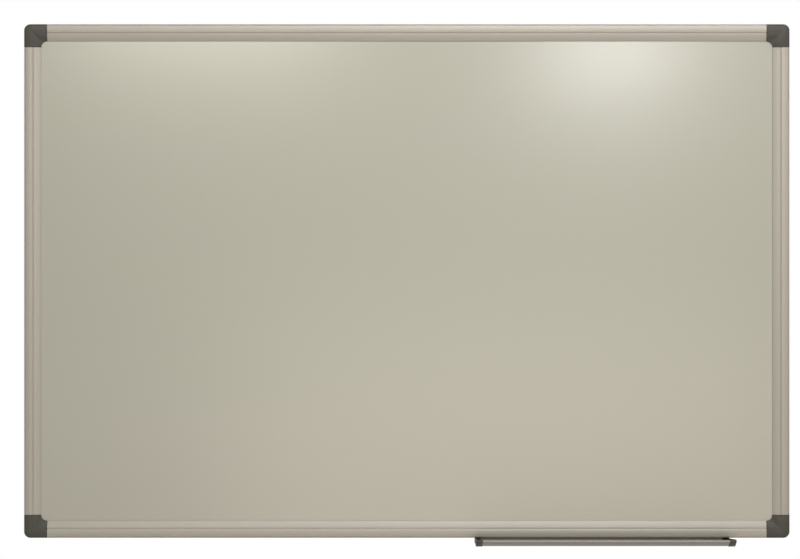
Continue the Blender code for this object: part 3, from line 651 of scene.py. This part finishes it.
def bracketRing(offset, arm, level, drawIn):
    # an L whose outer sides lie this offset from the corner's own sides
    size, radius = bracket["size"], bracket["outerEdge"]
    centre = (bracket["corner"], bracket["corner"])
    outline = [(offset, size, radius)]
    outline += arcPoints(centre, bracket["corner"] - offset, 180, 270, bracket["turnSteps"])
    outline += [(size, offset, radius), (size, arm, radius)]
    outline += [(arm, arm, bracket["armFillet"]), (arm, size, radius)]
    return [(across, -level, -down) for across, down in shrunkLoop(roundedLoop(outline), drawIn)]


def legMesh(swapped):
    # one leg runs across, and the swapped one down
    low, high, back, front = bracket["leg"]
    taper, taperLength = bracket["taper"]
    edge, end = bracket["legEdge"], bracket["legEnd"]
    rings = []
    for along, draw in ((bracket["legStart"], 0), (end - taperLength, 0), (end, taper)):
        loop = roundedLoop([(low + draw, back + draw, edge), (high - draw, back + draw, edge),
                            (high - draw, front - draw, edge), (low + draw, front - draw, edge)])
        rings.append([(inset, -level, -along) if swapped else (along, -level, -inset)
                      for inset, level in loop])
    return loftRings("leg", rings)


def bracketDrills():
    # each hole's place, and the profile of the drill that makes it
    top, rim, skim, past = bracket["top"], bracket["rim"], bracket["skim"], bracket["past"]
    flare, hole = bracket["flare"], bracket["hole"][2] / 2
    recess, recessFloor = bracket["recess"][0] / 2, bracket["recess"][1]
    wallScrew = [(hole + 2 * flare, -flare), (hole, flare), (hole, recessFloor)]
    wallScrew += [(recess - rim, recessFloor), (recess, recessFloor + rim), (recess, top - flare)]
    wallScrew += [(recess + flare, top + skim), (recess + flare, top + past)]
    peg, nose, pegFloor = bracket["pegHole"] / 2, bracket["pegNose"], bracket["pegFloor"]
    pegHole = [(peg - nose, pegFloor), (peg, pegFloor + nose), (peg, top - rim)]
    pegHole += [(peg + rim, top + skim), (peg + rim, top + past)]
    pilot = [(bracket["pilot"] / 2, -past), (bracket["pilot"] / 2, bracket["pilotTop"])]
    drills = [(bracket["hole"][:2], wallScrew)]
    drills += [(spot, pegHole) for spot in cap["pegs"]]
    drills += [(spot, pilot) for spot in (bracket["screw"], bracket["screw"][::-1])]
    return drills


def bracketMesh():
    # the plate against the room's wall, the arms on it and the boss on them
    # each row holds the offset, the arm's width, the level and the drawing in of one ring
    back, near, edge, top = bracket["backEdge"], bracket["backShare"], bracket["edge"], bracket["top"]
    pad, arm, boss = bracket["pad"], bracket["arm"], bracket["boss"]
    plate = [(0, pad, 0, back), (0, pad, back * near, back * near)]
    plate += [(0, pad, back, 0), (0, pad, bracket["padLevel"], 0)]
    arms = [(0, arm, bracket["armStart"], 0), (0, arm, bracket["ledge"], 0)]
    raised = [(boss, arm, bracket["bossStart"], 0), (boss, arm, top - edge, 0), (boss, arm, top, edge)]
    body, *upper = [loftRings("bracketBody", [bracketRing(*row) for row in rows])
                    for rows in (plate, arms, raised)]
    tools = [("UNION", mesh) for mesh in (*upper, legMesh(False), legMesh(True))]
    for (across, down), profile in bracketDrills():
        tools.append(("DIFFERENCE", turnedBar("drill", profile, bracket["drillSides"], lambda a, b, level: (
            across + a, -level, b - down))))
    return workedMesh("cornerBracket", body, tools)


screw = {
    "head": 5.6, "top": 0.4, "under": 1.7, "rim": 0.95, "underEdge": 0.1,
    "dome": ((1.0, 0.0), (1.5, 0.03), (2.0, 0.14), (2.35, 0.33), (2.62, 0.62)),     # radius and drop
    "core": 2.2, "thread": 2.9, "pitch": 1.2, "ridge": 0.5,     # ridge is the share of a pitch it takes
    "tip": 11.7, "point": 2.9, "bluntness": 0.05, "sides": 32, "steps": 90,
    "cross": (3.0, 0.75, 0.8),          # span, width and depth of the recess
    "crossMouth": (0.2, -0.05), "crossFoot": 0.22,      # how far its ends are drawn in
    "crossTaper": (2.0, 0.6),           # how much of that the span and the width take
}


def crossArms():
    # the two slots of the cross recess, which get narrower towards their floor
    span, width, depth = screw["cross"]
    above, opened = screw["crossMouth"]
    spanTaper, widthTaper = screw["crossTaper"]
    arms = []
    for turned in (False, True):
        slot = []
        for level, draw in ((screw["top"] - above, opened), (screw["top"] + depth, screw["crossFoot"])):
            a, b = span / 2 - draw * spanTaper, width / 2 - draw * widthTaper
            if turned:
                a, b = b, a
            slot.append([(-a, -level, -b), (a, -level, -b), (a, -level, b), (-a, -level, b)])
        arms.append(("DIFFERENCE", loftRings("cross", slot)))
    return arms


def screwMesh():
    # a domed head, then a thread whose ridge climbs one pitch in each turn
    sides, head, top, under = screw["sides"], screw["head"] / 2, screw["top"], screw["under"]
    turns = [side / sides for side in range(sides)]
    rows = [(radius, top + drop) for radius, drop in screw["dome"]]
    rows += [(head, top + screw["rim"]), (head, under - screw["underEdge"])]
    rows += [(head - screw["underEdge"], under)]
    rings = [[(r * math.cos(t * 2 * math.pi), -level, r * math.sin(t * 2 * math.pi)) for t in turns]
             for r, level in rows]
    length = screw["tip"] - under
    for step in range(screw["steps"] + 1):
        level = under + length * step / screw["steps"]
        ring = []
        for t in turns:
            phase = (level / screw["pitch"] - t) % 1.0
            ridge = max(0.0, 1 - abs(2 * phase - 1) / screw["ridge"])
            radius = (screw["core"] + (screw["thread"] - screw["core"]) * ridge) / 2
            radius *= min(1.0, (screw["tip"] - level) / screw["point"] + screw["bluntness"])
            ring.append((radius * math.cos(t * 2 * math.pi), -level, radius * math.sin(t * 2 * math.pi)))
        rings.append(ring)
    return workedMesh("fixingScrew", loftRings("screwBody", rings), crossArms())


def addCorners():
    bracketShape, capShape, screwShape = bracketMesh(), capMesh(), screwMesh()
    for corner, (node, side, up, turn) in boardCorners.items():
        low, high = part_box("corner_cap_" + node)
        spot = (low.x if side < 0 else high.x, 0.0, high.z if up > 0 else low.z)
        addPiece("cornerBracket" + corner, bracketShape, bracketPlastic,
                 "corner_bracket_" + node, spot, turn)
        addPiece("cornerCap" + corner, capShape, capPlastic, "corner_cap_" + node, spot, turn)
        for way in ("across", "down"):
            screwNode = f"fixing_screw_{node}_{way}"
            low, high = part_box(screwNode)
            addPiece("fixingScrew" + corner + way.capitalize(), screwShape, screwZinc,
                     screwNode, ((low.x + high.x) / 2, 0.0, (low.z + high.z) / 2))


addCorners()
print("corners and screws ready")


# Pen tray. Its section is drawn in level, and height up from the bottom of the board.

tray = {
    "top": -0.3, "foot": (2.6, 9.4), "footBottom": -6.6, "slot": 6.0,
    "neck": 0.9, "head": 2.1, "headHeights": (1.5, 2.9),
    "floor": -4.5, "wall": 1.2,
    "lipCentre": (50.0, 17.24), "lipRadius": 21.74, "bead": 3.0, "beadCentre": (65.7, 2.2),
    "port": 3.0, "portHeight": -3.45, "portMouth": 1.6, "portEdge": 0.05,
    "edge": 0.15, "softEdge": 0.3, "floorFillet": 0.5, "underFillet": 0.4,
    "lipSteps": 16, "beadSteps": 28, "portSteps": 30,
}


def keyCorners():
    # the T-shaped key that runs in the bottom rail's slot
    slot, edge = tray["slot"], tray["edge"]
    low, high = tray["headHeights"]
    neck, head = tray["neck"], tray["head"]
    half = [(neck, tray["top"]), (neck, low), (head, low), (head, high)]
    back = [(slot - across, height, edge) for across, height in half]
    return back + [(slot + across, height, edge) for across, height in half[::-1]]


def lipAngles(wall, bead):
    # in degrees: where the bead's middle and the faces' ends lie on the lip's arc, and half the neck's width
    # as the bead's middle sees it
    run = tray["beadCentre"][0] - tray["lipCentre"][0]
    rise = tray["lipCentre"][1] - tray["beadCentre"][1]
    lean = math.degrees(math.atan2(run, rise))
    reach = math.sqrt((bead / 2) ** 2 - (wall / 2) ** 2) / tray["lipRadius"]
    return lean, lean - math.degrees(reach), math.degrees(math.asin(wall / bead))


def lipArc(wall, side, bead):
    # side is 1 for the lip's upper face and -1 for its underside
    sweep = lipAngles(wall, bead)[1]
    radius = tray["lipRadius"] - side * wall / 2
    return arcPoints(tray["lipCentre"], radius, 270, 270 + sweep, tray["lipSteps"])


def beadArc(wall, bead, start=None):
    lean, _, neck = lipAngles(wall, bead)
    first = 180 + lean - neck if start is None else start
    return arcPoints(tray["beadCentre"], bead / 2, first, lean + neck - 180, tray["beadSteps"])


def trayLoop():
    wall, softEdge, bottom = tray["wall"], tray["softEdge"], tray["footBottom"]
    back, front = tray["foot"]
    height, gap, portEdge = tray["portHeight"], tray["portMouth"] / 2, tray["portEdge"]
    mouth = math.degrees(math.asin(tray["portMouth"] / tray["port"]))
    loop = [(back, tray["top"], tray["edge"])] + keyCorners()
    loop += [(front, tray["top"], softEdge), (front, tray["floor"] + wall / 2, tray["floorFillet"])]
    loop += lipArc(wall, 1, tray["bead"])[:-1]
    loop += beadArc(wall, tray["bead"])
    loop += lipArc(wall, -1, tray["bead"])[-2::-1]
    loop += [(front, tray["floor"] - wall / 2, tray["underFillet"]), (front, bottom, softEdge)]
    loop += [(back, bottom, softEdge), (back, height - gap, portEdge)]
    loop += arcPoints((tray["slot"], height), tray["port"] / 2, mouth - 180, 180 - mouth, tray["portSteps"])
    loop += [(back, height + gap, portEdge)]
    return roundedLoop(loop)


endCap = {
    "length": 7.2, "wall": 2.0, "swell": 0.5, "top": 95,    # degrees where the end wall's edge meets the bead
    "front": 18.1, "edge": 0.3, "edgeSegments": 3,
    "over": 20.0, "troughSteps": 10,        # the trough's cutter reaches this high
    "keySink": 1.0, "keyGap": 0.2,      # how deep the key sits in the cap, and how far back from its face
    "spigot": 2.4, "spigotLength": 8.0, "spigotNose": (0.3, 0.5), "spigotSides": 32,
    "tongue": (13.9, 37.9, -5.4, -6.4), "tongueEdge": 0.2,
    "overlap": 2.0,         # how far the spigot and the tongue reach into the cap, and the cutter out of it
}


def endCapOutlines():
    # the cap's own outline, and that of the trough which is cut into it
    wall, bead = tray["wall"] + 2 * endCap["swell"], tray["bead"] + 2 * endCap["swell"]
    back, front = tray["foot"]
    middle, top, bottom = tray["floor"], tray["top"], tray["footBottom"]
    outline = [(back, top), (endCap["front"], top)]
    outline += beadArc(wall, bead, endCap["top"])
    outline += lipArc(wall, -1, bead)[-2::-1]
    outline += [(front, middle - wall / 2), (front, bottom), (back, bottom)]
    lean, _, neck = lipAngles(wall, bead)
    trough = [(front, middle + wall / 2)] + lipArc(wall, 1, bead)[:-1]
    trough += arcPoints(tray["beadCentre"], bead / 2, 180 + lean - neck, endCap["top"], endCap["troughSteps"])
    trough += [(trough[-1][0], endCap["over"]), (front, endCap["over"])]
    return outline, trough


def endCapMesh(name, side, outer):
    # outer is the distance of the end from the tray's middle
    inner = outer - endCap["length"]
    edge, overlap = endCap["edge"], endCap["overlap"]

    def place(level, height, along):
        return (side * along, -level, height)

    outline, trough = endCapOutlines()
    body = runSection("endCapBody", [outline], inner, outer, place)
    cut = runSection("trough", [trough], inner - overlap, outer - endCap["wall"], place)
    radius, start = endCap["spigot"] / 2, inner - endCap["spigotLength"]
    narrowed, noseLength = endCap["spigotNose"]
    profile = [(radius - narrowed, start), (radius, start + noseLength), (radius, inner + overlap)]
    spigot = turnedBar("spigot", profile, endCap["spigotSides"], lambda a, b, along: (
        side * along, -tray["slot"] - a, tray["portHeight"] + b))
    keyBar = keyCorners()
    foot = tray["top"] - endCap["keySink"]
    keyBar = [(keyBar[0][0], foot)] + keyBar[1:-1] + [(keyBar[-1][0], foot)]
    key = runSection("key", [roundedLoop(keyBar)], inner + endCap["keyGap"], outer - edge, place)
    near, far, top, bottom = endCap["tongue"]
    blunt = endCap["tongueEdge"]
    tongueBar = [(near, top, blunt), (near, bottom, blunt), (far, bottom, blunt), (far, top, blunt)]
    tongue = runSection("tongue", [roundedLoop(tongueBar)], start, inner + overlap, place)
    shell = workedMesh("endCapShell", body, [("DIFFERENCE", cut)], edge, endCap["edgeSegments"])
    return workedMesh(name, shell, [("UNION", key), ("UNION", spigot), ("UNION", tongue)])


def addTray():
    low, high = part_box("pen_tray")
    length = (high.x - low.x) / mm
    spot = ((low.x + high.x) / 2, 0.0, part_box("bottom_rail")[0].z)
    body = runSection("penTray", [trayLoop()], -length / 2, length / 2, lambda level, height, along: (
        along, -level, height))
    addPiece("penTray", body, trayAluminiumPaintedShade, "pen_tray", spot)
    for name, side in (("left", -1), ("right", 1)):
        node = "tray_end_cap_" + name
        outer = abs((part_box(node)[0 if side < 0 else 1].x - spot[0]) / mm)
        addPiece("trayEndCap" + name.capitalize(), endCapMesh("endCap" + name.capitalize(), side, outer),
                 capPlastic, node, spot)


addTray()
print("pen tray ready")


# Camera, as the photograph was taken: straight on, from about two and a half metres

view = {"place": (-0.0080, -2.477, 0.0018), "lens": 94.22}

camera = bpy.data.cameras.new("photoCamera")
camera.lens = view["lens"]
cameraObject = bpy.data.objects.new("photoCamera", camera)
bpy.context.scene.collection.objects.link(cameraObject)
cameraObject.location = view["place"]
cameraObject.rotation_euler = (math.pi / 2, 0.0, 0.0)
bpy.context.scene.camera = cameraObject


# Studio: a pale floor well below the board, soft lamps on both sides of it and a white surround

floor = {"level": -1.2, "size": 7.0, "colour": "#d9d7d2", "glow": 0.72}


def paleFloor():
    # white to the camera but for the soft shadow, and seen through from below
    material = bpy.data.materials.new("paleFloor")
    material.use_nodes = True
    tree = material.node_tree
    tree.nodes.clear()
    matt = addNode(tree, "ShaderNodeBsdfDiffuse", {"Color": hexColour(floor["colour"])})
    glow = addNode(tree, "ShaderNodeEmission", {"Color": (1, 1, 1, 1), "Strength": floor["glow"]})
    lit = addNode(tree, "ShaderNodeAddShader", {}, {0: matt.outputs[0], 1: glow.outputs[0]})
    rays = addNode(tree, "ShaderNodeLightPath")
    mirrored = addNode(tree, "ShaderNodeMath", {"operation": "MAXIMUM"},
                       {0: rays.outputs["Is Camera Ray"], 1: rays.outputs["Is Glossy Ray"]})
    seen = addNode(tree, "ShaderNodeMath", {"operation": "MAXIMUM"},
                   {0: mirrored.outputs[0], 1: rays.outputs["Is Transmission Ray"]})
    either = addNode(tree, "ShaderNodeMixShader", {}, {
        0: seen.outputs[0], 1: matt.outputs[0], 2: lit.outputs[0]})
    below = addNode(tree, "ShaderNodeBsdfTransparent")
    side = addNode(tree, "ShaderNodeNewGeometry")
    shown = addNode(tree, "ShaderNodeMixShader", {},
                    {0: side.outputs["Backfacing"], 1: either.outputs[0], 2: below.outputs[0]})
    addNode(tree, "ShaderNodeOutputMaterial", {}, {"Surface": shown.outputs[0]})
    return material


def addFloor():
    half = floor["size"] / 2
    mesh = bpy.data.meshes.new("floor")
    rim = [(-half, -half), (half, -half), (half, half), (-half, half)]
    mesh.from_pydata([(x, y, floor["level"]) for x, y in rim], [], [(0, 1, 2, 3)])
    mesh.materials.append(paleFloor())
    sheet = bpy.data.objects.new("floor", mesh)
    bpy.context.scene.collection.objects.link(sheet)


surround = {"colour": "#ffffff", "light": 0.16}


def whiteSurround():
    # white where it is seen or mirrored, and softer where it only lights
    world = bpy.data.worlds.new("whiteSurround")
    world.use_nodes = True
    tree = world.node_tree
    tree.nodes.clear()
    rays = addNode(tree, "ShaderNodeLightPath")
    mirrored = addNode(tree, "ShaderNodeMath", {"operation": "MAXIMUM"},
                       {0: rays.outputs["Is Camera Ray"], 1: rays.outputs["Is Glossy Ray"]})
    seen = addNode(tree, "ShaderNodeMath", {"operation": "MAXIMUM"},
                   {0: mirrored.outputs[0], 1: rays.outputs["Is Transmission Ray"]})
    soft = addNode(tree, "ShaderNodeBackground", {"Color": hexColour(surround["colour"]),
                                                  "Strength": surround["light"]})
    white = addNode(tree, "ShaderNodeBackground", {"Color": (1, 1, 1, 1), "Strength": 1.0})
    mixed = addNode(tree, "ShaderNodeMixShader", {}, {
        0: seen.outputs[0], 1: soft.outputs[0], 2: white.outputs[0]})
    addNode(tree, "ShaderNodeOutputWorld", {}, {"Surface": mixed.outputs[0]})
    bpy.context.scene.world = world


lamps = {
    # place in metres, width and height in metres, watts, colour, and for a beam its aim and spread in degrees
    "mainLamp": ((0.49, -2.47, 0.545), (0.27, 0.12), 3.9, "#ffffff"),
    "secondLamp": ((-0.47, -2.47, 0.635), (0.60, 0.12), 5.2, "#fffaee"),
    "highLamp": ((0.4, -2.2, 1.5), (1.4, 0.8), 31.0, "#ffffff"),
    "frontLamp": ((1.0, -3.0, 1.6), (1.6, 1.6), 7.5, "#ffffff"),
    "topBeam": ((0.1, -2.0, 1.3), (1.4, 0.4), 0.88, "#ffffff", (0.1, 0.0, 0.3), 40),
    "rightBeam": ((1.5, -1.5, 1.8), (0.8, 0.6), 0.5, "#ffffff", (0.2, 0.0, 0.15), 35),
    "lowPanel": ((0.3, -3.4, -0.52), (1.6, 0.9), 14.0, "#fff1de"),
    "leftPanel": ((-0.8, -3.4, -0.5), (0.7, 0.6), 1.4, "#fff0e8"),
    "greenPanel": ((0.0, -3.4, 0.32), (2.2, 1.3), 4.0, "#78ffdc"),
    "backLamp": ((1.4, 2.6, 1.8), (1.8, 1.8), 30.0, "#ffffff"),
    "backFill": ((-1.8, 2.4, 0.6), (1.4, 1.4), 14.0, "#ffffff"),
}


def addLamps():
    for name, (place, size, watts, colour, *beam) in lamps.items():
        aim, spread = beam or ((0.0, 0.0, 0.0), 180)
        lamp = bpy.data.lights.new(name, "AREA")
        lamp.shape = "RECTANGLE"
        lamp.size, lamp.size_y = size
        lamp.energy = watts
        lamp.color = hexColour(colour)[:3]
        lamp.spread = math.radians(spread)
        holder = bpy.data.objects.new(name, lamp)
        bpy.context.scene.collection.objects.link(holder)
        holder.location = place
        holder.rotation_euler = (Vector(aim) - Vector(place)).to_track_quat("-Z", "Y").to_euler()
        holder.visible_camera = False


addFloor()
whiteSurround()
addLamps()
bpy.context.scene.view_settings.view_transform = "Standard"
print("studio ready")
